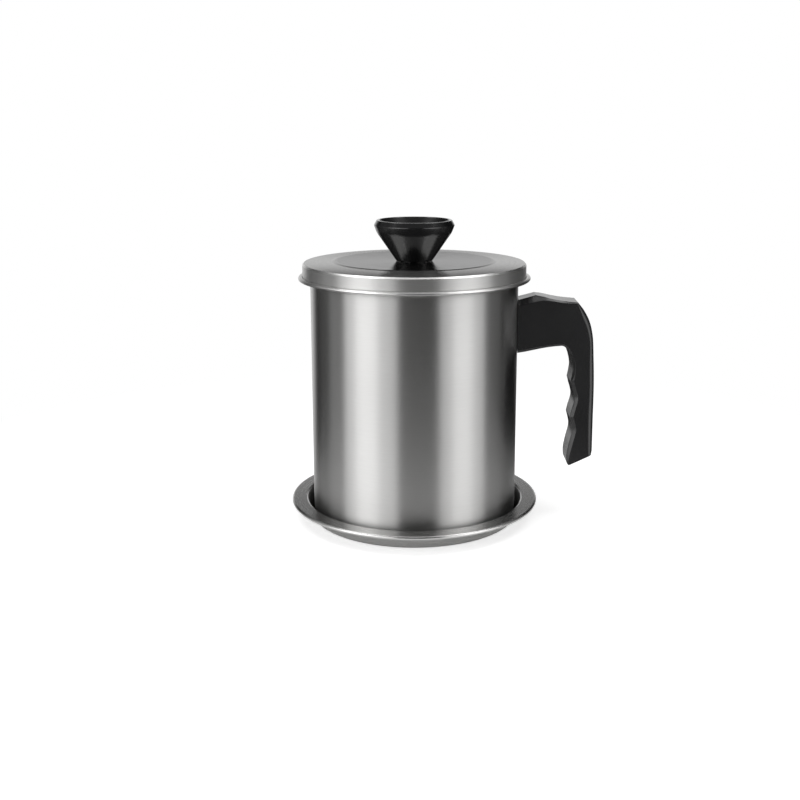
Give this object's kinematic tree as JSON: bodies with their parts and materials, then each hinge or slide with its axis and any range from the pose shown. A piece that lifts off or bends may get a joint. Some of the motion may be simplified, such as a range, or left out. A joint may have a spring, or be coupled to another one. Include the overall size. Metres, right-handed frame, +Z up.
{
  "type": "bacon grease container",
  "caption": "Lidded steel pot with a lift-out strainer, a black side handle and a flared lid knob, standing in a wide-rimmed drip tray.",
  "frame": {"origin": "middle of the drip tray's flat underside, on the axis of the pot", "axes": "+Z up along the pot's axis, +X towards the handle, -Y towards the viewer of the picture"},
  "size_m": [0.1853, 0.152, 0.1826],
  "materials": {
    "tray_steel": "satin brushed stainless sheet, brush lines round the axis",
    "pot_steel": "satin stainless sheet brushed round the pot",
    "lid_steel": "satin ring and skirt round a polished panel",
    "strainer_steel": "plain pressed stainless sheet and wire mesh",
    "bracket_steel": "plain pressed sheet",
    "fastener_steel": "bright plated steel",
    "insert_brass": "turned brass",
    "handle_plastic": "black moulded heat-resistant plastic, satin",
    "knob_plastic": "black moulded heat-resistant plastic, glossy"
  },
  "bodies": {
    "tray": {"drip_tray": "tray_steel"},
    "pot": {"pot_shell": "pot_steel", "handle_bracket": "bracket_steel", "bracket_nut": "fastener_steel", "handle": "handle_plastic", "handle_screw": "fastener_steel", "handle_washer": "fastener_steel", "handle_lock_washer": "fastener_steel"},
    "strainer": {"strainer_cup": "strainer_steel", "strainer_mesh": "strainer_steel", "strainer_ring": "strainer_steel"},
    "lid": {"lid_shell": "lid_steel", "knob": "knob_plastic", "knob_insert": "insert_brass", "knob_screw": "fastener_steel", "knob_washer": "fastener_steel"}
  },
  "joints": [
    {"name": "pot_lift", "type": "slide", "parent": "tray", "child": "pot", "axis": [0, 0, 1], "range_m": [0, 0.04]},
    {"name": "strainer_lift", "type": "slide", "parent": "pot", "child": "strainer", "axis": [0, 0, 1], "range_m": [0, 0.06]},
    {"name": "lid_lift", "type": "slide", "parent": "strainer", "child": "lid", "axis": [0, 0, 1], "range_m": [0, 0.05]}
  ]
}
